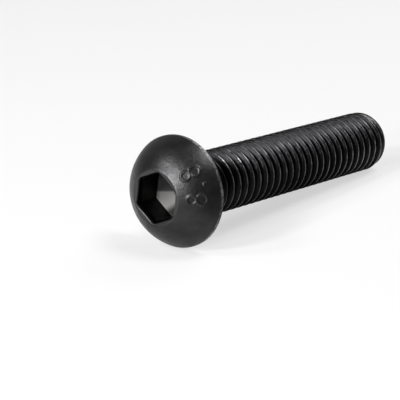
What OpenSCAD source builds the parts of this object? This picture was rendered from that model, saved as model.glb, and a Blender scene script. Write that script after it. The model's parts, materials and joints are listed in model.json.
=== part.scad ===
// Button-head machine screw with a hexagon socket, lying on its side.
// The screw is first built upright: its axis is Z, the face under its head is at Z = 0,
// the head is below that and the shank above. It is then laid down with the shank along +X.

/* [Thread] */
// Diameter over the crests of the thread
thread_d = 5.9; // [5.5:0.05:6.4]
// Pitch, from one turn to the next
thread_pitch = 1; // [0.8:0.05:1.2]
// Angle between the two flanks of a groove
flank_angle = 60; // [55:1:65]
// Width of the narrow flat along a crest
crest_w = 0.13; // [0.08:0.01:0.2]
// Width of the flat at the bottom of a groove
root_w = 0.23; // [0.16:0.01:0.3]
// Length over which the first turn rises out of the neck
run_in = 1.4; // [0.6:0.1:3]
// Angle round the axis at which a crest would cross the plane under the head
thread_turn = 189; // [0:1:359]

/* [Shank] */
// Length from the face under the head to the end face
shank_len = 30; // [16:1:36]
// Length of the plain neck under the head
neck_len = 2; // [1:0.1:4]
// Diameter of the plain neck
neck_d = 5.3; // [5.1:0.05:5.45]
// Radius of the fillet between the neck and the head
neck_fillet = 0.25; // [0.1:0.05:0.4]
// Length of the tapered lead at the end
lead_len = 1.3; // [0.8:0.1:2]
// Diameter of the flat end face
end_d = 4.3; // [3.6:0.1:4.6]

/* [Head] */
// Diameter of the head
head_d = 10.2; // [9:0.1:12]
// Height of the head
head_h = 3.25; // [2.9:0.05:3.8]
// Height of the straight band round the rim
rim_h = 0.4; // [0.2:0.05:0.8]
// Bevel on the lower edge of the rim
rim_bevel = 0.1; // [0.05:0.01:0.15]
// Diameter of the land round the socket, where the dome ends
land_d = 5.05; // [4.9:0.05:6]
// Fall of the land from its edge to the flats of the socket
land_fall = 0.1; // [0.05:0.01:0.2]

/* [Socket] */
// Width of the socket across its flats
socket_af = 4.05; // [3.8:0.01:4.15]
// Depth of the socket below the top of the head
socket_depth = 2.7; // [2:0.05:2.9]
// Angle of a socket corner round the axis
socket_turn = 5.3; // [0:0.1:60]
// Width of the socket across its flats at the mouth, where the walls lean outwards
mouth_af = 4.33; // [4.2:0.01:4.4]
// Diameter to which the corners of the mouth are rounded off
mouth_d = 4.8; // [4.75:0.05:4.85]
// Depth below the top of the head at which the walls start to lean outwards
flare_depth = 0.5; // [0.2:0.05:0.9]

/* [Hidden] */

// Straight steps that one turn of the thread is built from
turn_steps = 32;
// Straight steps in the quarter round of the neck fillet
fillet_steps = 6;
round_fn = 96;
// A little more than nothing, by which a cutter stands clear of what it cuts
clear = 0.5;
// Small step down from the neck to the start of the thread, which stands on the neck's end face
start_step = 0.02;

crest_r = thread_d / 2;
thread_depth = (thread_pitch - crest_w - root_w) / 2 / tan(flank_angle / 2);
root_r = crest_r - thread_depth;
neck_r = neck_d / 2;
head_r = head_d / 2;
land_r = land_d / 2;
end_r = end_d / 2;
flat_r = socket_af / 2;
socket_r = flat_r / cos(30);
// How far the cutter of the flare reaches past it, into the hexagon
flare_spare = 0.05;

// The dome is part of one ball that passes through the top of the rim and the edge of the land
dome_z = (head_r * head_r + rim_h * rim_h - land_r * land_r - head_h * head_h) / (2 * (head_h - rim_h));
dome_r = norm([head_r, dome_z + rim_h]);

// One pitch of the thread's outline: distance along the axis and radius of each corner.
// It starts at a crest, so that a crest lies on thread_turn.
outline = [
  [-crest_w / 2, crest_r],
  [crest_w / 2, crest_r],
  [thread_pitch / 2 - root_w / 2, root_r],
  [thread_pitch / 2 + root_w / 2, root_r]
];
corners = len(outline);

// Each corner of the outline runs round the shank as a helical line, numbered k from the head.
function corner(k) = outline[(k % corners + corners) % corners];
function line_z(step, k) =
  thread_pitch * (floor(k / corners) + step / turn_steps - thread_turn / 360) + corner(k)[0];

// The radius of a point of the outline, after the run-in at the neck and the lead at the end
start_r = neck_r - start_step;
lead_slope = (crest_r - end_r) / lead_len;
function risen(z) = min(1, max(0, (z - neck_len) / run_in));
function line_r(z, k) = min(
  start_r + (corner(k)[1] - start_r) * risen(z),
  end_r + lead_slope * (shank_len - z)
);

// The helical lines that pass each step round the shank, between the neck and the end face.
// A line closer to either end than end_gap would leave a sliver and is left out.
end_gap = 0.06 * thread_pitch;
most_lines = corners * (ceil(shank_len / thread_pitch) + 2);
function lines_at(step) = [
  for (k = [0 : most_lines])
    let (z = line_z(step, k))
      if (z > neck_len + end_gap && z < shank_len - end_gap) k
];
lines = [for (step = [0 : turn_steps - 1]) lines_at(step)];
first = [for (l = lines) l[0]];
last = [for (l = lines) l[len(l) - 1]];

function at_angle(r, step, z) =
  let (a = 360 * step / turn_steps) [r * cos(a), r * sin(a), z];

// A column of points at one step: on the neck's end face, on each line, on the end face.
columns = [
  for (step = [0 : turn_steps - 1]) [
    at_angle(start_r, step, neck_len),
    for (k = lines[step])
      let (z = line_z(step, k)) at_angle(line_r(z, k), step, z),
    at_angle(end_r, step, shank_len)
  ]
];
column_start = [
  for (step = 0, n = 0; step < turn_steps; n = n + len(columns[step]), step = step + 1) n
];

// The number of the point where line k passes a step. The line before the first one is the
// point on the neck, and the one after the last is the point on the end face. After a whole
// turn, a line comes back to the first column one pitch further on.
function point_at(step, k) =
  step < turn_steps
    ? column_start[step] + k - first[step] + 1
    : column_start[0] + k + corners - first[0] + 1;
function first_at(step) = step < turn_steps ? first[step] : first[0] - corners;
function last_at(step) = step < turn_steps ? last[step] : last[0] - corners;

// The triangles between one column and the next: a fan at the neck, two triangles for each
// pair of lines that both columns have, and a fan at the end face.
function strip(step) =
  let (
    a0 = first_at(step),
    a1 = last_at(step),
    b0 = first_at(step + 1),
    b1 = last_at(step + 1)
  )
  [
    [point_at(step, a0), point_at(step + 1, b0 - 1), point_at(step, a0 - 1)],
    for (k = [b0 - 1 : 1 : a0 - 1])
      [point_at(step, a0), point_at(step + 1, k + 1), point_at(step + 1, k)],
    for (k = [a0 : 1 : b1 - 1])
      [point_at(step, k), point_at(step, k + 1), point_at(step + 1, k)],
    for (k = [a0 : 1 : b1 - 1])
      [point_at(step + 1, k), point_at(step, k + 1), point_at(step + 1, k + 1)],
    for (k = [b1 : 1 : a1])
      [point_at(step, k), point_at(step, k + 1), point_at(step + 1, b1)],
    [point_at(step, a1 + 1), point_at(step + 1, b1 + 1), point_at(step + 1, b1)]
  ];

// The screw rests on the rim of its head and on a crest near its end. The first crest to
// meet the floor, as the end comes down, sets the tilt.
rest_tilt = min([
  for (p = columns[0]) atan2(head_r - p[0], p[2] + rim_bevel)
]);
rest_h = head_r * cos(rest_tilt) - rim_bevel * sin(rest_tilt);
low_x = -head_h * cos(rest_tilt) - land_r * sin(rest_tilt);
high_x = shank_len * cos(rest_tilt) + end_r * sin(rest_tilt);

module thread() {
  polyhedron(
    points = [for (c = columns) each c],
    faces = [
      for (step = [0 : turn_steps - 1]) each strip(step),
      [for (step = [0 : turn_steps - 1]) column_start[step]],
      [for (step = [turn_steps - 1 : -1 : 0]) column_start[step] + len(columns[step]) - 1]
    ],
    convexity = 10
  );
}

module neck() {
  rotate_extrude($fn = round_fn)
    polygon([
      [0, 0],
      for (i = [0 : fillet_steps])
        let (a = 90 * i / fillet_steps)
          [neck_r + neck_fillet * (1 - sin(a)), neck_fillet * (1 - cos(a))],
      [neck_r, neck_len],
      [0, neck_len]
    ]);
}

module dome() {
  intersection() {
    translate([0, 0, dome_z])
      sphere(r = dome_r, $fn = round_fn);
    rotate_extrude($fn = round_fn)
      polygon([
        [0, -head_h],
        [head_r + clear, -head_h],
        [head_r + clear, -rim_h],
        [head_r, -rim_h],
        [head_r, -rim_bevel],
        [head_r - rim_bevel, 0],
        [0, 0]
      ]);
  }
}

// The mouth of the socket: the hexagon leans outwards, and its corners are rounded off
module flare() {
  lean = (mouth_af / 2 / cos(30) - socket_r) / flare_depth;
  intersection() {
    rotate([0, 0, socket_turn])
      cylinder(
        h = flare_depth + flare_spare,
        r1 = socket_r + lean * flare_depth,
        r2 = socket_r - lean * flare_spare,
        $fn = 6
      );
    translate([0, 0, -clear])
      cylinder(h = flare_depth + 2 * clear, d = mouth_d, $fn = round_fn);
  }
}

// The hexagon socket, its mouth, and the shallow dish of the land that leads into it
module socket() {
  dish_slope = land_fall / (land_r - flat_r);
  translate([0, 0, -head_h]) {
    rotate_extrude($fn = round_fn)
      polygon([
        [0, -clear],
        [land_r, -clear],
        [land_r, 0],
        [0, land_r * dish_slope]
      ]);
    flare();
  }
  translate([0, 0, -head_h - clear])
    rotate([0, 0, socket_turn])
      cylinder(h = socket_depth + clear, r = socket_r, $fn = 6);
}

module screw() {
  color([0.12, 0.12, 0.125])
    translate([-(low_x + high_x) / 2, 0, rest_h])
      rotate([0, 90 + rest_tilt, 0])
        union() {
          difference() {
            dome();
            socket();
          }
          neck();
          thread();
        }
}

screw();
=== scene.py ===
# %% [markdown]
# # A black socket screw with a button head
#
# The real screw is one piece of steel wire. A press upsets one end into a domed head, a punch
# forces the hexagon socket into it, two dies roll the thread on the shank, and a hot bath turns
# the surface black. This lesson follows the same order: first the pressed blank, then the rolled
# thread, then the black finish. The packed solid is the measure for all of it, so it is loaded
# first.

# %% The measured solid
import json
import math

import bpy
from mathutils import Matrix, Vector


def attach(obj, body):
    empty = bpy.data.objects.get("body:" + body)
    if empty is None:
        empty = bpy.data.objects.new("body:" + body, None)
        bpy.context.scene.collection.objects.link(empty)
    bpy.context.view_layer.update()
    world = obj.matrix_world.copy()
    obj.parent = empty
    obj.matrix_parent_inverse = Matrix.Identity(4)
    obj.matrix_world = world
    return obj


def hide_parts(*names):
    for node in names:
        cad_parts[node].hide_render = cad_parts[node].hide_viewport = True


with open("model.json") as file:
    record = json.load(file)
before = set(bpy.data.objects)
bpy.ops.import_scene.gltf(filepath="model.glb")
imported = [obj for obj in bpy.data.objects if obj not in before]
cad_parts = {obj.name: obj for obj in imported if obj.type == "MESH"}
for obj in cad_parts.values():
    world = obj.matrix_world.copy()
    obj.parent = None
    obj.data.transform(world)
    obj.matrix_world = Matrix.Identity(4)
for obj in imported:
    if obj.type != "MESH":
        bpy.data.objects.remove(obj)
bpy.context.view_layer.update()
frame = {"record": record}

MM = 0.001

# %% [markdown]
# ## Where the screw lies
#
# A screw can't stand on its dome, so it lies on two points: the rim of the head and a crest of
# the thread. Its axis therefore falls a little towards the end. It is easiest to draw a turned
# part upright, with the axis along Z and the face under the head at Z = 0, and to lay it down at
# the end. The face under the head is one of the solid's stated mounts, and that mount's point
# and direction give the whole move.

# %% From the drawing board to the floor
mounts = {mount["name"]: mount for mount in frame["record"]["mounts"]}
under_head = Vector(mounts["bearing_face"]["pos_m"])
axis = Vector(mounts["bearing_face"]["axis"])
fall = math.asin(-axis.z)
place = Matrix.Translation(under_head) @ Matrix.Rotation(math.radians(90) + fall, 4, "Y")
print("the axis falls by", round(math.degrees(fall), 2), "degrees")

# %% [markdown]
# ## The sizes
#
# These are the same driving sizes as in the solid's own source, in the same three groups:
# thread, shank, and head with socket. The whole shape is worked out from them, so a longer screw
# or a wider head needs only one number changed. What the solid leaves out because it is too
# small, such as how soft each edge is, is given further on, where it is first used.

# %% Sizes of the thread
thread_d = 5.9 * MM
pitch = 1.0 * MM
flank_angle = math.radians(60)
crest_w = 0.13 * MM
root_w = 0.23 * MM
run_in = 1.4 * MM
thread_turn = math.radians(189)
print("thread, mm:", round(thread_d / MM, 2), "over its crests, pitch", round(pitch / MM, 2))

# %% Sizes of the shank
shank_len = 30.0 * MM
neck_len = 2.0 * MM
neck_d = 5.3 * MM
neck_fillet = 0.25 * MM
lead_len = 1.3 * MM
end_d = 4.3 * MM
print("turns of thread:", round((shank_len - neck_len) / pitch, 1))

# %% Sizes of the head and the socket
head_d = 10.2 * MM
head_h = 3.25 * MM
rim_h = 0.4 * MM
rim_bevel = 0.1 * MM
land_d = 5.05 * MM
land_fall = 0.1 * MM

socket_af = 4.05 * MM
socket_depth = 2.7 * MM
socket_turn = math.radians(5.3)
mouth_af = 4.33 * MM
mouth_d = 4.8 * MM
flare_depth = 0.5 * MM
print("head, mm:", round(head_d / MM, 2), "wide and", round(head_h / MM, 2), "high")

# %% [markdown]
# ## The camera
#
# The photo was taken from the head's side, a little from above, with a long lens: the thread
# gets only slightly narrower towards the end. The three angles and lengths below were found by
# laying the drawn outline over the picture. The middle of the picture isn't on the screw's axis,
# so the aim is moved a little sideways and down from the point under the head. A camera could
# also be aimed with a constraint, but a plain direction is easier to read and to change.

# %% Camera
view_azimuth = math.radians(38.94)
view_down = math.radians(18.81)
view_distance = 156.24 * MM
view_lens = 158.14
aim_right = 1.852 * MM
aim_up = -0.823 * MM

forward = Vector((
    math.cos(view_azimuth) * math.cos(view_down),
    math.sin(view_azimuth) * math.cos(view_down),
    -math.sin(view_down),
))
right = Vector((math.sin(view_azimuth), -math.cos(view_azimuth), 0))
up = right.cross(forward)

camera = bpy.data.objects.new("camera", bpy.data.cameras.new("camera"))
camera.data.lens = view_lens
camera.data.clip_start = 1 * MM
camera.location = under_head + right * aim_right + up * aim_up - forward * view_distance
camera.rotation_mode = "QUATERNION"
camera.rotation_quaternion = forward.to_track_quat("-Z", "Y")
bpy.context.scene.collection.objects.link(camera)
bpy.context.scene.camera = camera
print("camera at, mm:", [round(size / MM, 1) for size in camera.location])

# %% [markdown]
# ## A short hand for nodes
#
# The floor, the room, the thread and the black finish are all node trees. In Blender's editor
# they would be drawn by hand; in a script each node takes three or four lines, which hides what
# the tree says. So there is one small class with a short call for each node. With it, a formula
# made of Math nodes reads almost like the formula itself.

# %% Sheet
class Sheet:
    """A node tree, with one short call for each node."""

    def __init__(self, tree):
        self.tree = tree

    def node(self, kind, settings=(), **inputs):
        """A node with its settings and inputs; an underscore in an input's name is a space."""
        made = self.tree.nodes.new(kind)
        for name, value in dict(settings).items():
            setattr(made, name, value)
        for name, value in inputs.items():
            self.feed(value, made.inputs[name.replace("_", " ")])
        return made

    def feed(self, value, socket):
        """Links a socket to another, or gives it a plain value."""
        if isinstance(value, bpy.types.NodeSocket):
            self.tree.links.new(value, socket)
        else:
            socket.default_value = value

    def math(self, operation, *values):
        """A Math node's result."""
        made = self.tree.nodes.new("ShaderNodeMath")
        made.operation = operation
        for value, socket in zip(values, made.inputs):
            self.feed(value, socket)
        return made.outputs[0]


print("calls of a sheet:", [name for name in vars(Sheet) if not name.startswith("_")])

# %% [markdown]
# Three formulas come back in almost every tree: a soft step, a blend of two numbers, and how far
# a place lies in some direction. They get a name each, and so does a level direction itself.


# %% Small formulas
def step_between(sheet, value, low, high):
    """A soft step from 0 at low to 1 at high; with low above high it falls."""
    made = sheet.node("ShaderNodeMapRange", {"interpolation_type": "SMOOTHSTEP"}, Value=value)
    made.inputs["From Min"].default_value = low
    made.inputs["From Max"].default_value = high
    return made.outputs["Result"]


def blend(sheet, share, low, high):
    """A number that goes from low to high with share."""
    m = sheet.math
    return m("MULTIPLY_ADD", share, m("SUBTRACT", high, low), low)


def distance_along(sheet, position, direction):
    """How far a position lies along a direction."""
    made = sheet.node("ShaderNodeVectorMath", {"operation": "DOT_PRODUCT"})
    sheet.feed(position, made.inputs[0])
    made.inputs[1].default_value = direction
    return made.outputs["Value"]


def level_direction(azimuth):
    """A level direction at an angle in degrees from X."""
    return (math.cos(math.radians(azimuth)), math.sin(math.radians(azimuth)), 0)


print("a level direction at 90 degrees:", [round(part, 3) for part in level_direction(90)])

# %% [markdown]
# ## The floor
#
# The floor is matt white card. A card that is lit at a plain level comes out light grey, and
# more light would spoil the black metal. So the camera sees the card with some of its own glow
# mixed in, with the help of the Light Path node, while the light on the screw and its shadow
# stay as they are. For glossy rays only, the card is also painted darker to one side near the
# head, so that the eye never sees it: a painted dark reflection, which keeps the oily flanks
# there black.

# %% Card
card_white = 0.75
card_glow = 0.6
# Painted dark reflection: how much darker the card looks to glossy rays, to one side near the head
painted_dark_share = 0.75
dark_toward = level_direction(120)
dark_reach = 8 * MM
dark_until = 14 * MM
dark_full = 2 * MM


def new_material(name):
    """An empty node material and its output node."""
    material = bpy.data.materials.new(name)
    material.use_nodes = True
    material.node_tree.nodes.clear()
    return material, material.node_tree.nodes.new("ShaderNodeOutputMaterial")


def mix_shaders(sheet, share, first, second):
    """A shader that goes from first to second with share."""
    made = sheet.node("ShaderNodeMixShader", Fac=share)
    sheet.feed(first.outputs[0], made.inputs[1])
    sheet.feed(second.outputs[0], made.inputs[2])
    return made


def white_card():
    """Matt white card: a little brighter to the camera, and with a painted dark reflection to one
    side.
    """
    material, output = new_material("white_card")
    sheet = Sheet(material.node_tree)
    m = sheet.math
    where = sheet.node("ShaderNodeTexCoord").outputs["Object"]
    rays = sheet.node("ShaderNodeLightPath").outputs
    along = sheet.node("ShaderNodeSeparateXYZ", Vector=where).outputs["X"]
    aside = distance_along(sheet, where, dark_toward)

    card = sheet.node("ShaderNodeBsdfDiffuse", Color=(card_white, card_white, card_white, 1))
    glow = sheet.node("ShaderNodeEmission", Strength=1.0)
    dark = sheet.node("ShaderNodeEmission", Strength=0.0)
    # The painted dark reflection, to one side of the head and only near it
    to_side = m("MULTIPLY", step_between(sheet, aside, dark_reach, -dark_reach), painted_dark_share)
    shaded = m("MULTIPLY", to_side, step_between(sheet, along, dark_until, dark_full))
    seen = mix_shaders(sheet, m("MULTIPLY", rays["Is Camera Ray"], card_glow), card, glow)
    mirrored = mix_shaders(sheet, m("MULTIPLY", shaded, rays["Is Glossy Ray"]), seen, dark)
    sheet.feed(mirrored.outputs[0], output.inputs["Surface"])
    return material


floor_finish = white_card()
print("nodes of the card:", len(floor_finish.node_tree.nodes))

# %% Floor
floor_size = 3.0
half = floor_size / 2
floor_mesh = bpy.data.meshes.new("floor")
floor_mesh.from_pydata(
    [(-half, -half, 0), (half, -half, 0), (half, half, 0), (-half, half, 0)], [], [(0, 1, 2, 3)]
)
floor_mesh.materials.append(floor_finish)
floor = bpy.data.objects.new("floor", floor_mesh)
bpy.context.scene.collection.objects.link(floor)
print("floor, m:", floor_size, "each way")

# %% [markdown]
# ## The room
#
# A dark satin metal has almost no colour of its own: what we see on it is the room. The room is
# a small product studio: a pale sweep behind the screw and a dim side where the photographer
# stands. An image of a real room could be wrapped round the scene instead, but two levels and a
# soft change between them are enough for a dark screw and are easy to adjust. To the camera
# itself the room is plain white, and to the matt floor it gives a little even light.

# %% Room
room_white = 1.0
room_behind = 0.45
room_dim = 0.2
room_fill = 0.08
sweep_lean = -0.35
sweep_start = -0.1
sweep_end = 0.5


def studio_room():
    """A world that is white to the camera, and pale behind and dim in front in a mirror."""
    world = bpy.data.worlds.new("studio")
    world.use_nodes = True
    world.node_tree.nodes.clear()
    sheet = Sheet(world.node_tree)
    look = sheet.node("ShaderNodeTexCoord").outputs["Generated"]
    rays = sheet.node("ShaderNodeLightPath").outputs
    behind = distance_along(sheet, look, (math.cos(view_azimuth), math.sin(view_azimuth), sweep_lean))
    sweep = blend(sheet, step_between(sheet, behind, sweep_start, sweep_end), room_dim, room_behind)
    mirrored = blend(sheet, rays["Is Glossy Ray"], room_fill, sweep)
    seen = blend(sheet, rays["Is Camera Ray"], mirrored, room_white)
    glow = sheet.node("ShaderNodeBackground", Strength=seen)
    output = sheet.node("ShaderNodeOutputWorld")
    sheet.feed(glow.outputs[0], output.inputs["Surface"])
    return world


bpy.context.scene.world = studio_room()
bpy.context.scene.view_settings.view_transform = "Standard"
print("room, in a mirror:", room_behind, "behind the screw and", room_dim, "in front")

# %% [markdown]
# ## The lamps
#
# Soft boxes give the dome and the thread their highlights. Three small ones on the camera's side
# make the long highlight between the socket and the figures, a large one from the right fills
# the dome, and one behind the screw lights the tops of the crests. A lamp's power grows with its
# area, so each lamp is given by how bright its face is, and the power is worked out from that.
# In this way a box can be made larger or smaller and still shows as bright in the metal.

# %% Lamps
lamp_distance = 0.3

# Name, azimuth and elevation in degrees, side in metres, brightness of its face
LAMPS = (
    ("key_box", 176, 34, 0.05, 72),
    ("left_box", 150, 44, 0.05, 28),
    ("low_box", -169, 20, 0.05, 42),
    ("top_box", -60, 67, 0.11, 11),
    ("back_box", 2, 40, 0.16, 2.8),
)


def soft_box(name, azimuth, elevation, side, glow):
    """A square lamp that points at the screw; glow is how bright its face is, 1 being white."""
    level = math.cos(math.radians(elevation))
    toward = Vector((
        math.cos(math.radians(azimuth)) * level,
        math.sin(math.radians(azimuth)) * level,
        math.sin(math.radians(elevation)),
    ))
    lamp = bpy.data.objects.new(name, bpy.data.lights.new(name, "AREA"))
    lamp.data.size = side
    lamp.data.energy = glow * math.pi * side * side
    lamp.location = toward * lamp_distance
    lamp.rotation_mode = "QUATERNION"
    lamp.rotation_quaternion = (-toward).to_track_quat("-Z", "Y")
    bpy.context.scene.collection.objects.link(lamp)
    return lamp


for lamp in [soft_box(*row) for row in LAMPS]:
    print(lamp.name, "has", round(lamp.data.energy, 3), "W")

# %% [markdown]
# ## The pressed blank
#
# Head, socket and neck are round about one axis, apart from the hexagon. They could be made by
# spinning an outline and cutting a hexagonal prism out of it, but a cut leaves knife edges and
# long thin faces. Here the outline is worked out afresh at each of 384 angles, with the distance
# to the socket's wall changing from angle to angle. All outlines have the same number of points,
# so joining each to the next gives one clean sheet of faces from the socket's floor to the neck.

# %% Worked-out sizes of the head
crest_r = thread_d / 2
neck_r = neck_d / 2
head_r = head_d / 2
land_r = land_d / 2
end_r = end_d / 2
flat_r = socket_af / 2
floor_z = socket_depth - head_h
land_slope = land_fall / (land_r - flat_r)

# The dome is part of one ball, through the edge of the land and the top of the rim
ball_z = (head_r**2 + rim_h**2 - land_r**2 - head_h**2) / (2 * (head_h - rim_h))
ball_r = math.hypot(head_r, ball_z + rim_h)
print("ball of the dome, mm:", round(ball_r / MM, 3), "centred at", round(ball_z / MM, 3))

# %% [markdown]
# ## The hexagon and its mouth
#
# A hexagonal punch is never quite sharp, so the socket's corners are rounded. Its shoulder then
# spreads the mouth into a wider hexagon with cut corners, and as punches are seldom dead centre,
# the mouth and the land round it sit a little aside. All three shapes are written as a distance
# from the axis at a given angle: that is what the outlines need, and it keeps the hexagon exact.
# Where two of the mouth's lines cross, a soft minimum turns one gently into the other.

# %% Hexagon
corner_soft = 0.14 * MM
corner_step = math.pi / 3
half_step = corner_step / 2


def wall_distance(angle):
    """From the axis to the socket's wall, at an angle from one of the hexagon's corners."""
    off_corner = abs((angle + half_step) % corner_step - half_step)
    round_at = (flat_r - corner_soft) / math.cos(half_step)
    round_until = math.atan2(corner_soft / 2, round_at + corner_soft * math.cos(half_step))
    if off_corner < round_until:
        across = round_at * math.sin(off_corner)
        return round_at * math.cos(off_corner) + math.sqrt(corner_soft**2 - across**2)
    return flat_r / math.cos(half_step - off_corner)


print("socket across corners, mm:", round(2 * wall_distance(0) / MM, 3))

# %% Mouth
mouth_aside = 0.12 * MM
mouth_toward = math.radians(10)
mouth_turn = 0.02 * MM
least_lean = 0.01 * MM
least_facing = 0.5


def soft_least(values, softness):
    """The least of some values, with a soft turn where two are within softness of each other."""
    least = min(values)
    shares = sum(math.exp((least - value) / softness) for value in values)
    return least - softness * math.log(shares)


def aside_circle(angle, radius):
    """From the axis to a circle that sits a little aside, as the mouth and the land do."""
    off = angle - mouth_toward + socket_turn
    across = mouth_aside * math.sin(off)
    return mouth_aside * math.cos(off) + math.sqrt(radius**2 - across**2)


def mouth_distance(angle):
    """From the axis to the edge of the mouth, a wider hexagon with rounded corners."""
    toward = mouth_toward - socket_turn
    reaches = [aside_circle(angle, mouth_d / 2)]
    for side in range(6):
        flat = half_step + corner_step * side
        facing = math.cos(angle - flat)
        if facing > least_facing:
            far = mouth_af / 2 + mouth_aside * math.cos(flat - toward)
            reaches.append(far / facing)
    return max(soft_least(reaches, mouth_turn), wall_distance(angle) + least_lean)


print("mouth beside the first corner, mm:", round(mouth_distance(0) / MM, 3))

# %% [markdown]
# ## Plain numbers on the dome
#
# Heads like this one carry small raised figures that the punch leaves in the steel. They are
# only about seven hundredths of a millimetre high, with soft edges. Text cut from a font would
# have crisp edges and thousands of faces, so each figure is drawn as a few rings instead, and
# the dome rises wherever it is close to one. The figures run round the socket with their tops
# towards it.

# %% Rings of the figures
figure_height = 0.07 * MM
stroke = 0.09 * MM
stroke_soft = 0.14 * MM
figure_r = 3.88 * MM
figure_half_w = 1.0 * MM
figure_half_h = 1.3 * MM

# Each ring: middle across and up, half width and half height, from the figure's own middle
EIGHT = [
    (0, 0.46 * MM, 0.38 * MM, 0.42 * MM),
    (0, -0.44 * MM, 0.45 * MM, 0.48 * MM),
]
DOT = [(0, -0.85 * MM, 0.06 * MM, 0.06 * MM)]
FIGURES = [
    (math.radians(-95.5), EIGHT),
    (math.radians(-113), DOT),
    (math.radians(-131), EIGHT),
]
print("figures:", len(FIGURES), "from", sum(len(rings) for angle, rings in FIGURES), "rings")


# %% How far the dome rises
def ring_distance(across, along, ring):
    """Distance from a point to the nearest part of an oval ring."""
    middle_x, middle_y, half_w, half_h = ring
    x = (across - middle_x) / half_w
    y = (along - middle_y) / half_h
    return abs(math.hypot(x, y) - 1) * min(half_w, half_h)


def smooth(share):
    """A soft step from 0 to 1."""
    share = min(1, max(0, share))
    return share * share * (3 - 2 * share)


def rise(angle, slant):
    """How much the dome rises at an angle round the axis and a slant from its top."""
    along = ball_r * (math.asin(figure_r / ball_r) - slant)
    nearest = math.inf
    for middle, rings in FIGURES:
        off = (angle - middle + math.pi) % (2 * math.pi) - math.pi
        across = -off * ball_r * math.sin(slant)
        if abs(across) < figure_half_w and abs(along) < figure_half_h:
            nearest = min([nearest] + [ring_distance(across, along, ring) for ring in rings])
    return figure_height * smooth((stroke + stroke_soft / 2 - nearest) / stroke_soft)


example_rise = rise(FIGURES[0][0], math.asin(figure_r / ball_r))
print("rise at the middle of the first figure, mm:", round(example_rise / MM, 3))

# %% [markdown]
# ## One outline of the blank
#
# The outline is a chain of points, each a distance from the axis and a height. Where two
# stretches meet, a soft corner replaces the sharp one, because even a crisp forged edge has a
# small round that catches the light. On both sides of it lies one more point, so that the flat
# beside the corner stays flat when the shading is smoothed. The same could be had from a Bevel
# modifier, but on a mesh this fine its width would change wherever the faces do.

# %% Soft corners and stretches
CORNER_STEPS = 4


def soft_corner(before, corner, after, steps=CORNER_STEPS):
    """Points of a curve from before to after that bends towards the corner."""
    points = []
    for step in range(steps + 1):
        t = step / steps
        points.append(tuple(
            (1 - t)**2 * a + 2 * t * (1 - t) * b + t**2 * c
            for a, b, c in zip(before, corner, after)
        ))
    return points


def between(start, end, shares):
    """Points at the given shares of the way from start to end."""
    return [tuple(a + (b - a) * share for a, b in zip(start, end)) for share in shares]


def on_ball(slant, lift=0.0):
    """A point of the dome: distance from the axis and height."""
    return ((ball_r + lift) * math.sin(slant), ball_z - (ball_r + lift) * math.cos(slant))


print("points of a soft corner:", len(soft_corner((0, 0), (1, 0), (1, 1))))

# %% [markdown]
# The socket's outline starts at the middle of its floor, climbs the wall, leans outwards at the
# mouth and crosses the land to its rim. Where mouth and rim come close together, on the narrow
# side of the land, both soft corners shrink with the gap, so that they never run into each other.

# %% Outline of the socket
floor_soft = 0.15 * MM
mouth_soft = 0.06 * MM
land_soft = 0.06 * MM
gap_share = 0.3
past_soft = 1.3
MOUTH_STEPS = 5


def socket_outline(wall, mouth, rim):
    """From the socket's floor, up its wall and over the land to its rim, where the dome starts."""
    slant = math.asin(rim / ball_r)
    top = on_ball(slant)[1]

    def land(r):
        return (r, top + (rim - r) * land_slope)

    soft = min(mouth_soft, gap_share * (rim - mouth))
    rim_side = min(land_soft, gap_share * (rim - mouth))
    edge = land(mouth)
    foot = (wall, flare_depth - head_h)
    reach = soft / math.hypot(mouth - wall, flare_depth)
    low, turn = (wall, floor_z), on_ball(slant + land_soft / ball_r)
    return (
        between((0, floor_z), (wall - past_soft * floor_soft, floor_z), (0.35, 0.7, 1))
        + soft_corner((wall - floor_soft, floor_z), low, (wall, floor_z - floor_soft))
        + between((wall, floor_z - past_soft * floor_soft), (wall, foot[1] + 2 * soft), (0, 0.5, 1))
        + between(foot, edge, (0, 0.5, max(0.5, 1 - past_soft * reach)))
        + soft_corner(between(edge, foot, (reach,))[0], edge, land(mouth + soft), MOUTH_STEPS)
        + between(land(mouth + past_soft * soft), land(rim - past_soft * rim_side), (0, 0.5, 1))
        + soft_corner(land(rim - rim_side), land(rim), turn)
    )


socket_example = socket_outline(wall_distance(0), mouth_distance(0), land_r)
print("points in the socket's outline:", len(socket_example))

# %% [markdown]
# The dome is one arc with the figures' rise added. Below it come the straight band of the rim,
# the face under the head, and the fillet that carries the load from the head into the neck.

# %% Outlines of the dome, the rim and the neck
rim_soft = 0.05 * MM
bevel_soft = 0.02 * MM
past_edge = 1.5
bevel_share = 0.2
face_stop = 1.1
neck_first = 1.2
neck_last = 0.9
BALL_STEPS = 76
BEVEL_STEPS = 2
FILLET_STEPS = 8


def dome_outline(angle, rim):
    """Down the dome from the land's rim, over the raised figures, to the head's own rim."""
    first = math.asin(rim / ball_r) + past_edge * land_soft / ball_r
    last = math.asin(head_r / ball_r) - past_edge * rim_soft / ball_r
    slants = [first + (last - first) * step / BALL_STEPS for step in range(BALL_STEPS + 1)]
    return [on_ball(slant, rise(angle, slant)) for slant in slants]


def rim_outline():
    """Round the rim and across the face under the head."""
    before = on_ball(math.asin(head_r / ball_r) - rim_soft / ball_r)
    top, low, under = (head_r, -rim_h), (head_r, -rim_bevel), (head_r - rim_bevel, 0)
    band_top = (head_r, -rim_h + past_edge * rim_soft)
    band_low = (head_r, low[1] - past_edge * bevel_soft)
    bevel_top, bevel_low = between(low, under, (bevel_share, 1 - bevel_share))
    face = (under[0] - past_edge * bevel_soft, 0)
    return (
        soft_corner(before, top, (head_r, -rim_h + rim_soft))
        + between(band_top, band_low, (0, 1))
        + soft_corner((head_r, low[1] - bevel_soft), low, bevel_top, BEVEL_STEPS)
        + soft_corner(bevel_low, under, (under[0] - bevel_soft, 0), BEVEL_STEPS)
        + between(face, (neck_r + neck_fillet * face_stop, 0), (0, 0.5, 1))
    )


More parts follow.
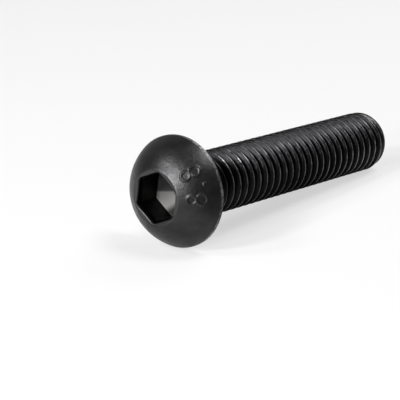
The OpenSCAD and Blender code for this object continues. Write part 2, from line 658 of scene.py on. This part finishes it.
def neck_outline():
    """The fillet under the head and the start of the neck."""
    turns = [math.pi / 2 * step / FILLET_STEPS for step in range(FILLET_STEPS + 1)]
    fillet = [
        (neck_r + neck_fillet * (1 - math.sin(turn)), neck_fillet * (1 - math.cos(turn)))
        for turn in turns
    ]
    return fillet + [(neck_r, neck_fillet * neck_first), (neck_r, neck_len * neck_last)]


print("points in the dome's outline:", len(dome_outline(0, land_r)))
print("points round the rim and down the neck:", len(rim_outline()) + len(neck_outline()))

# %% [markdown]
# ## Skin of the blank
#
# The outlines become a mesh by joining like points of neighbouring outlines. The dome needs 384
# of them, because the figures are fine. The thread turns on a smaller radius and is well
# described by 96, so the last row of faces on the neck takes four steps of the one to each step
# of the other. The neck's end stays open here: the thread grows from it.

# %% Outlines all round
around = 384
thread_around = 96


def ring_angle(number, count):
    """Angle of a point in a ring of count points, which starts on a corner of the hexagon."""
    return socket_turn + 2 * math.pi * number / count


def blank_outlines():
    """One outline for each angle, all with the same number of points."""
    shared = rim_outline() + neck_outline()
    outlines = []
    for number in range(around):
        angle = ring_angle(number, around)
        off = angle - socket_turn
        rim = aside_circle(off, land_r)
        inside = socket_outline(wall_distance(off), mouth_distance(off), rim)
        outlines.append(inside + dome_outline(angle, rim) + shared)
    return outlines


outlines = blank_outlines()
print(len(outlines), "outlines of", len(outlines[0]), "points")


# %% Mesh of the blank
def blank_mesh(outlines):
    """The blank as a mesh, upright, open at the end of the neck."""
    rows = len(outlines[0])
    points = [(0, 0, floor_z)]
    for row in range(rows):
        for number in range(around):
            r, z = outlines[number][row]
            angle = ring_angle(number, around)
            points.append((r * math.cos(angle), r * math.sin(angle), z))
    for number in range(thread_around):
        angle = ring_angle(number, thread_around)
        points.append((neck_r * math.cos(angle), neck_r * math.sin(angle), neck_len))

    def at(row, number):
        return 1 + row * around + number % around

    faces = [(0, at(0, n + 1), at(0, n)) for n in range(around)]
    for row in range(rows - 1):
        for n in range(around):
            faces.append((at(row, n), at(row, n + 1), at(row + 1, n + 1), at(row + 1, n)))
    last = 1 + rows * around
    ratio = around // thread_around
    for n in range(thread_around):
        upper = [at(rows - 1, ratio * n + step) for step in range(ratio + 1)]
        faces.append(tuple(upper + [last + (n + 1) % thread_around, last + n]))
    mesh = bpy.data.meshes.new("screw_body")
    mesh.from_pydata(points, [], faces)
    mesh.shade_smooth()
    return mesh


screw = bpy.data.objects.new("screw_body", blank_mesh(outlines))
bpy.context.scene.collection.objects.link(screw)
print("faces of the blank:", len(screw.data.polygons))

# %% [markdown]
# ## The rolled thread
#
# A thread is a rule: the distance from the axis depends only on how far a point is from the
# nearest crest, and the crest climbs one pitch a turn. It could be made with a Screw modifier
# on a drawn profile, but the thread also has to rise out of the neck and to fade into the
# tapered lead. Geometry Nodes can state the rule itself. A flat grid is taken, its X is read as
# the turn and its Y as the pitches along the shank, and each point is set to the place that the
# rule gives. Rows of the grid then follow the helix, so the crest is one clean line of faces.

# %% Inputs of the tree
INPUT_KINDS = {float: "NodeSocketFloat", int: "NodeSocketInt"}
thread_inputs = {
    "Crest Radius": crest_r,
    "Pitch": pitch,
    "Crest Width": crest_w,
    "Root Width": root_w,
    "Flank Angle": flank_angle,
    "Corner Softness": 0.07 * MM,
    "Thread Turn": thread_turn,
    "First Angle": socket_turn,
    "Neck Radius": neck_r,
    "Neck Length": neck_len,
    "Run In": run_in,
    "Shank Length": shank_len,
    "Lead Length": lead_len,
    "Lead Bulge": 1.25,
    "End Radius": end_r,
    "Steps Per Turn": thread_around,
    "Rows Per Pitch": 18,
    "Merge Distance": 0.0005 * MM,
}

tree = bpy.data.node_groups.new("rolled_thread", "GeometryNodeTree")
tree.interface.new_socket("Blank", in_out="INPUT", socket_type="NodeSocketGeometry")
for name, value in thread_inputs.items():
    tree.interface.new_socket(name, in_out="INPUT", socket_type=INPUT_KINDS[type(value)])
tree.interface.new_socket("Finish", in_out="INPUT", socket_type="NodeSocketMaterial")
tree.interface.new_socket("Screw", in_out="OUTPUT", socket_type="NodeSocketGeometry")

sheet = Sheet(tree)
m = sheet.math
given = sheet.node("NodeGroupInput").outputs
print("named inputs of the thread:", len(thread_inputs))

# %% [markdown]
# The grid has one pitch to spare at both ends, because its rows climb and so cross the ends of
# the thread at a slant. Whatever would lie before the neck's end or past the end face is pressed
# flat onto that height, where it shrinks to nothing and is merged away at the end. The grid has
# its middle at zero and a side of 1, so half its side is added to read it from 0 to 1.

# %% Turn and height of each point
spare_pitches = 2.0
full_turn = 2 * math.pi
grid_side = 1.0

thread_len = m("SUBTRACT", given["Shank Length"], given["Neck Length"])
all_pitches = m("ADD", m("CEIL", m("DIVIDE", thread_len, given["Pitch"])), spare_pitches)
grid = sheet.node(
    "GeometryNodeMeshGrid", Size_X=grid_side, Size_Y=grid_side,
    Vertices_X=m("ADD", given["Steps Per Turn"], 1.0),
    Vertices_Y=m("MULTIPLY_ADD", all_pitches, given["Rows Per Pitch"], 1.0),
).outputs["Mesh"]

position = sheet.node("GeometryNodeInputPosition").outputs[0]
here = sheet.node("ShaderNodeSeparateXYZ", Vector=position).outputs
angle = m("MULTIPLY_ADD", m("ADD", here["X"], grid_side / 2), full_turn, given["First Angle"])
pitches = m("MULTIPLY", m("ADD", here["Y"], grid_side / 2), all_pitches)

started = m("DIVIDE", m("SUBTRACT", angle, given["Thread Turn"]), full_turn)
neck_pitches = m("FLOOR", m("DIVIDE", given["Neck Length"], given["Pitch"]))
climbed = m("ADD", m("ADD", pitches, started), m("SUBTRACT", neck_pitches, 1.0))
free_z = m("MULTIPLY", climbed, given["Pitch"])
thread_z = m("MINIMUM", m("MAXIMUM", free_z, given["Neck Length"]), given["Shank Length"])
print("nodes for turn and height:", len(tree.nodes))

# %% [markdown]
# Along the flanks the distance from the axis falls in a straight line from crest to root. The
# soft minimum and maximum turn it gently at both, as worn dies do.

# %% The endless ridge
half_flank = m("TANGENT", m("DIVIDE", given["Flank Angle"], 2.0))
off_crest = m("ABSOLUTE", m("SUBTRACT", pitches, m("ROUND", pitches)))
half_crest = m("DIVIDE", given["Crest Width"], 2.0)
past_crest = m("SUBTRACT", m("MULTIPLY", off_crest, given["Pitch"]), half_crest)
flank = m("SUBTRACT", given["Crest Radius"], m("DIVIDE", past_crest, half_flank))
crested = m("SMOOTH_MIN", flank, given["Crest Radius"], given["Corner Softness"])

flats = m("ADD", given["Crest Width"], given["Root Width"])
depth = m("DIVIDE", m("DIVIDE", m("SUBTRACT", given["Pitch"], flats), 2.0), half_flank)
root = m("SUBTRACT", given["Crest Radius"], depth)
ridge = m("SMOOTH_MAX", crested, root, given["Corner Softness"])

sharp_depth = (pitch - crest_w - root_w) / 2 / math.tan(flank_angle / 2)
print("depth of the grooves before softening, mm:", round(sharp_depth / MM, 3))

# %% [markdown]
# Near the neck the ridge is scaled up from nothing, which is how the dies let a thread run out.
# At the end it may not stand above the lead, a cone that bulges a little from the rolling. The
# smaller of the two distances is the one that counts.

# %% Run-in, lead and the wound grid
along = m("DIVIDE", m("SUBTRACT", thread_z, given["Neck Length"]), given["Run In"])
above_neck = m("SUBTRACT", ridge, given["Neck Radius"])
risen = m("MULTIPLY_ADD", above_neck, m("MINIMUM", along, 1.0), given["Neck Radius"])

to_end = m("DIVIDE", m("SUBTRACT", given["Shank Length"], thread_z), given["Lead Length"])
into_lead = m("SUBTRACT", 1.0, m("MINIMUM", to_end, 1.0))
bulged = m("SUBTRACT", 1.0, m("POWER", into_lead, given["Lead Bulge"]))
taper = m("POWER", bulged, m("DIVIDE", 1.0, given["Lead Bulge"]))
lead_depth = m("SUBTRACT", given["Crest Radius"], given["End Radius"])
lead = m("MULTIPLY_ADD", lead_depth, taper, given["End Radius"])

thread_r = m("MINIMUM", risen, lead)
wound = sheet.node(
    "ShaderNodeCombineXYZ",
    X=m("MULTIPLY", thread_r, m("COSINE", angle)),
    Y=m("MULTIPLY", thread_r, m("SINE", angle)),
    Z=thread_z,
).outputs[0]
placed = sheet.node("GeometryNodeSetPosition", Geometry=grid, Position=wound).outputs[0]
thread = sheet.node("GeometryNodeSetShadeSmooth", Geometry=placed).outputs[0]
print("nodes with the ridge, the run-in and the lead:", len(tree.nodes))

# %% [markdown]
# The wound grid has an open end. A disc with as many corners as the thread has steps closes it.
# Blank, thread and disc are joined, and points in the same place are merged, so that the screw
# is one closed skin. The tree ends by making everything real and giving it the finish.

# %% End face and the rest of the tree
disc = sheet.node(
    "GeometryNodeMeshCircle", {"fill_type": "NGON"},
    Vertices=given["Steps Per Turn"], Radius=given["End Radius"],
).outputs["Mesh"]
raised = sheet.node(
    "GeometryNodeTransform", Geometry=disc,
    Translation=sheet.node("ShaderNodeCombineXYZ", Z=given["Shank Length"]).outputs[0],
    Rotation=sheet.node("ShaderNodeCombineXYZ", Z=given["First Angle"]).outputs[0],
).outputs[0]
end_face = sheet.node(
    "GeometryNodeSetShadeSmooth", Geometry=raised, Shade_Smooth=False,
).outputs[0]

join = sheet.node("GeometryNodeJoinGeometry")
for part in (given["Blank"], thread, end_face):
    sheet.feed(part, join.inputs[0])
merged = sheet.node(
    "GeometryNodeMergeByDistance", Geometry=join.outputs[0], Distance=given["Merge Distance"],
).outputs[0]
real = sheet.node("GeometryNodeRealizeInstances", Geometry=merged).outputs[0]
finished = sheet.node(
    "GeometryNodeSetMaterial", Geometry=real, Material=given["Finish"],
).outputs[0]
sheet.node("NodeGroupOutput", Screw=finished)
print("nodes of the whole tree:", len(tree.nodes))

# %% [markdown]
# ## Black oxide
#
# The bath turns the top of the steel into a thin skin of dark iron oxide, and the screws leave
# it with a film of oil. The skin still mirrors like a metal, only very weakly, so the shader is
# a metal with a dark colour and not a grey paint: a paint would light up the thread's grooves,
# which are black on the real screw. All patterns are laid out on the upright screw, by turning
# the object's own coordinates back with one Mapping node. They stay on the metal when the screw
# is moved, which they would not do if they were tied to the room.

# %% Places on the upright screw
finish, finish_output = new_material("black_oxide")
sheet = Sheet(finish.node_tree)
m = sheet.math

upright = sheet.node(
    "ShaderNodeMapping", {"vector_type": "TEXTURE"},
    Vector=sheet.node("ShaderNodeTexCoord").outputs["Object"],
    Location=under_head, Rotation=place.to_euler(),
).outputs[0]
xyz = sheet.node("ShaderNodeSeparateXYZ", Vector=upright).outputs
squares = m("ADD", m("MULTIPLY", xyz["X"], xyz["X"]), m("MULTIPLY", xyz["Y"], xyz["Y"]))
radius = m("SQRT", squares)
height = xyz["Z"]
print("turned back by, degrees:", [round(math.degrees(part), 2) for part in place.to_euler()])

# %% [markdown]
# The finish is not the same all over. The land is painted lighter, a painted highlight, and the
# rim is lighter, partly scuffs and partly a painted highlight. The grooves are painted blacker
# than the crests, as painted shade, and the crests lighter, partly wear and partly a painted
# highlight. The neck and the end were never rolled. The socket hardly lets any light out, so its
# walls are painted nearly black, as painted shade. Each such place is a mask, a number from 0 to
# 1. As the screw is round, most masks are a soft step in the distance from the axis or in the
# height, and two tables can hold them.

# %% Masks
# Where each mask is 0 and where it is 1, by the distance from the axis
ACROSS = {
    "flank": (crest_r - 0.42 * MM, crest_r - 0.12 * MM),
    "crest": (crest_r - 0.05 * MM, crest_r - 0.01 * MM),
    "rim": (head_r - 0.03 * MM, head_r - 0.005 * MM),
    "land": (land_r + 0.12 * MM, land_r - 0.02 * MM),
    "within": (land_r + 0.14 * MM, land_r + 0.12 * MM),
}
# The same by the height
ALONG = {
    "shank": (0.0, 0.1 * MM),
    "neck": (neck_len + 0.4 * MM, neck_len - 0.1 * MM),
    "near head": (13 * MM, 3 * MM),
    "lead": (shank_len - 1.5 * lead_len, shank_len - 0.6 * lead_len),
    "end": (shank_len - 0.02 * MM, shank_len - 0.001 * MM),
    "below land": (-head_h + 0.17 * MM, -head_h + 0.23 * MM),
    "bottom": (floor_z - 0.10 * MM, floor_z - 0.02 * MM),
}

on = {name: step_between(sheet, radius, *ends) for name, ends in ACROSS.items()}
on.update({name: step_between(sheet, height, *ends) for name, ends in ALONG.items()})
on["head"] = m("SUBTRACT", 1.0, on["shank"])
on["socket"] = m("MULTIPLY", m("MULTIPLY", on["within"], on["below land"]), on["head"])
on["floor"] = m("MULTIPLY", on["socket"], on["bottom"])
print("masks:", ", ".join(on))

# %% [markdown]
# Two places are not round the axis. The floor of the socket is lighter in one patch, which
# fades towards one side, and the crests near the head carry bright spots on one side only, partly
# wear and partly painted glints. They are bounded by straight lines across the axis, each with
# its own softness, and the masks of the lines are multiplied.

# %% Places off the axis
# Direction in degrees, distance from the axis, and softness of each line
PATCH_LINES = (
    (143, -0.95 * MM, 0.70 * MM),
    (50, 0.15 * MM, 0.20 * MM),
    (-12, -0.05 * MM, 0.25 * MM),
)
PATCH_FADE = (-30, 0.30 * MM, 1.60 * MM)
patch_least = 0.45
# Bare spots on the crests near the head fall only on this side, where the key lamp glints: partly
# wear, partly painted glints
RUBBED_AND_GLINT_LINE = (-148, 2.70 * MM, 0.30 * MM)


def past_line(toward, reach, softness):
    """1 past a straight line across the upright screw's axis, 0 before it."""
    along = distance_along(sheet, upright, level_direction(toward))
    return step_between(sheet, along, reach - softness / 2, reach + softness / 2)


patch = blend(sheet, past_line(*PATCH_FADE), patch_least, 1.0)
for line in PATCH_LINES:
    patch = m("MULTIPLY", patch, past_line(*line))
on["patch"] = patch
on["rubbed"] = m("MULTIPLY", past_line(*RUBBED_AND_GLINT_LINE), on["near head"])
print("lines round the bare patch:", len(PATCH_LINES))

# %% [markdown]
# Oxide is never even. Noise of several sizes gives clouds on the dome, blotches that carry the
# roughness, specks for the grain, streaks that follow the rolling, and scrapes, which also place
# the painted glints on the crests. The size is given in millimetres, the width of one feature,
# because that is what can be measured on a picture, and the noise node's scale is worked out from
# it.

# %% Grain
# Width of a feature, detail, and how much each direction is stretched
GRAINS = {
    "cloud": (1.1 * MM, 2.0, (1, 1, 1)),
    "blotch": (0.30 * MM, 3.0, (1, 1, 1)),
    "speck": (0.10 * MM, 2.0, (1, 1, 1)),
    "streak": (0.16 * MM, 3.0, (0.3, 0.3, 1)),
    "scrape": (0.6 * MM, 2.0, (1, 1, 1)),
}

grain = {}
for name, (width, detail, stretch) in GRAINS.items():
    scaled = sheet.node("ShaderNodeMapping", Vector=upright, Scale=stretch).outputs[0]
    noise = sheet.node("ShaderNodeTexNoise", Vector=scaled, Scale=1 / width, Detail=detail)
    grain[name] = noise.outputs["Fac"]
print("grains, mm:", {name: round(row[0] / MM, 2) for name, row in GRAINS.items()})

# %% [markdown]
# ## Colours of the finish
#
# The colours are what a metal mirrors when it faces a lamp: 0.05 sends back a twentieth of the
# light. Each part of the screw starts from its darkest colour, and the lighter ones are laid
# over it with a mask and a grain. Where a grain decides, it passes through a soft step first,
# because plain noise hardly ever reaches 0 or 1 and would leave everything half and half.

# %% Head
head_dark = (0.040, 0.040, 0.041, 1)
head_black = (0.052, 0.052, 0.053, 1)
# Painted highlight: the land is painted lighter than the dome
land_painted_sheen = (0.068, 0.068, 0.069, 1)
# Partly scuffs, partly a painted highlight: the rim's lighter grey
rim_scuff_and_sheen_grey = (0.220, 0.220, 0.222, 1)

# A Mix node has sockets for several kinds of data, and these are the ones for colours
COLOUR_LOW, COLOUR_HIGH, COLOUR_RESULT = 6, 7, 2


def tint(share, low, high):
    """A colour that goes from low to high with share."""
    made = sheet.node("ShaderNodeMix", {"data_type": "RGBA"})
    sheet.feed(share, made.inputs["Factor"])
    sheet.feed(low, made.inputs[COLOUR_LOW])
    sheet.feed(high, made.inputs[COLOUR_HIGH])
    return made.outputs[COLOUR_RESULT]


# Scuffs on the rim, which also carry its painted highlight
rim_scuffs_and_sheen = m("MULTIPLY", on["rim"], step_between(sheet, grain["blotch"], 0.35, 0.6))
head = tint(step_between(sheet, grain["cloud"], 0.3, 0.7), head_dark, head_black)
head = tint(on["land"], head, land_painted_sheen)
head = tint(rim_scuffs_and_sheen, head, rim_scuff_and_sheen_grey)
print("the land is", round(land_painted_sheen[0] / head_black[0], 2), "times as bright as the dome")

# %% Shank
# Painted shade: the bottom of the grooves is painted darker than the flanks
groove_painted_shade = (0.005, 0.005, 0.0055, 1)
flank_black = (0.015, 0.015, 0.016, 1)
# Partly wear, partly a painted highlight: the crests are painted lighter than the flanks
crest_wear_and_sheen = (0.160, 0.160, 0.162, 1)
# Partly wear, partly painted glints: bare steel on the crests near the head, on one side only
bare_steel_glint = (0.600, 0.600, 0.590, 1)
lead_grey = (0.050, 0.050, 0.051, 1)

# The crests' lighter streaks: partly wear, partly a painted highlight
worn_and_sheen_crests = m("MULTIPLY", on["crest"], step_between(sheet, grain["streak"], 0.25, 0.6))
scraped = m("MULTIPLY", on["crest"], step_between(sheet, grain["scrape"], 0.50, 0.60))
# Painted shade deep in the grooves, lighter up the flanks
shank = tint(on["flank"], groove_painted_shade, flank_black)
shank = tint(on["lead"], shank, lead_grey)
shank = tint(worn_and_sheen_crests, shank, crest_wear_and_sheen)
shank = tint(m("MULTIPLY", scraped, on["rubbed"]), shank, bare_steel_glint)
shank = tint(on["neck"], shank, head_dark)
print("a crest is", round(crest_wear_and_sheen[0] / groove_painted_shade[0]), "times as bright as a groove")

# %% Socket, end face and the whole screw
# Painted shade: the socket's walls are painted nearly black
socket_painted_shade = (0.008, 0.008, 0.008, 1)
floor_dark = (0.016, 0.016, 0.016, 1)
floor_grey = (0.265, 0.256, 0.240, 1)
end_dark = (0.070, 0.070, 0.070, 1)
end_grey = (0.200, 0.200, 0.196, 1)

cut = tint(step_between(sheet, grain["blotch"], 0.3, 0.7), end_dark, end_grey)
colour = tint(on["shank"], head, shank)
# The socket's walls get their painted shade
colour = tint(on["socket"], colour, socket_painted_shade)
colour = tint(on["floor"], colour, tint(on["patch"], floor_dark, floor_grey))
colour = tint(on["end"], colour, cut)
print("nodes of the finish so far:", len(finish.node_tree.nodes))

# %% [markdown]
# ## The shader
#
# One metal shader takes the colour and the roughness. The oily thread is glossier than the
# head, and the floor of the socket is nearly matt, since the bath's residue stays in it. The
# grain is too fine for faces, so it is a bump of one to two hundredths of a millimetre. Every
# shape that can be seen as a shape is in the mesh.

# %% Black oxide
rough_head = (0.32, 0.46)
rough_thread = (0.24, 0.38)
rough_floor = 0.8
floor_residue = 0.95
speck_height = 0.014 * MM
blotch_height = 0.020 * MM
streak_height = 0.02 * MM

satin = blend(sheet, grain["blotch"], *rough_head)
oily = blend(sheet, grain["blotch"], *rough_thread)
roughness = blend(sheet, on["floor"], blend(sheet, on["shank"], satin, oily), rough_floor)
metallic = m("SUBTRACT", 1.0, m("MULTIPLY", on["floor"], floor_residue))

blotches = m("MULTIPLY", grain["blotch"], blotch_height)
grit = m("MULTIPLY_ADD", grain["speck"], speck_height, blotches)
relief = m("MULTIPLY_ADD", m("MULTIPLY", grain["streak"], on["shank"]), streak_height, grit)
bump = sheet.node("ShaderNodeBump", Strength=1.0, Distance=1.0, Height=relief)

metal = sheet.node(
    "ShaderNodeBsdfPrincipled", Base_Color=colour, Metallic=metallic, Roughness=roughness,
    Normal=bump.outputs[0],
)
sheet.feed(metal.outputs[0], finish_output.inputs["Surface"])
print("nodes of the finish:", len(finish.node_tree.nodes))

# %% [markdown]
# ## Winding the thread
#
# The tree is put on the blank as a modifier, and each input is set by its identifier, since
# names needn't be unique. The evaluated result is then copied into a plain mesh and the modifier
# is removed: other programs know nothing of Blender's modifiers, and a plain mesh can be
# measured. Only now is the screw laid down, by moving the mesh and not the object, so that the
# finish finds the object at the origin.


# %% Wind the thread and make the screw one plain mesh
def wind_thread(blank):
    """Runs the tree on the blank and returns a plain mesh."""
    modifier = blank.modifiers.new("rolled_thread", "NODES")
    modifier.node_group = tree
    inputs = [item for item in tree.interface.items_tree if item.in_out == "INPUT"]
    identifiers = {item.name: item.identifier for item in inputs}
    for name, value in thread_inputs.items():
        modifier[identifiers[name]] = value
    modifier[identifiers["Finish"]] = finish
    evaluated = blank.evaluated_get(bpy.context.evaluated_depsgraph_get())
    plain = bpy.data.meshes.new_from_object(evaluated)
    blank.modifiers.remove(modifier)
    return plain


screw.data = wind_thread(screw)
screw.data.transform(place)
screw.data.name = "screw_body"
print("faces of the screw:", len(screw.data.polygons))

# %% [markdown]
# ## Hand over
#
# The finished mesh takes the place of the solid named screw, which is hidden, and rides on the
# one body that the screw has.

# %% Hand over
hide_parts("screw")
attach(screw, "root")
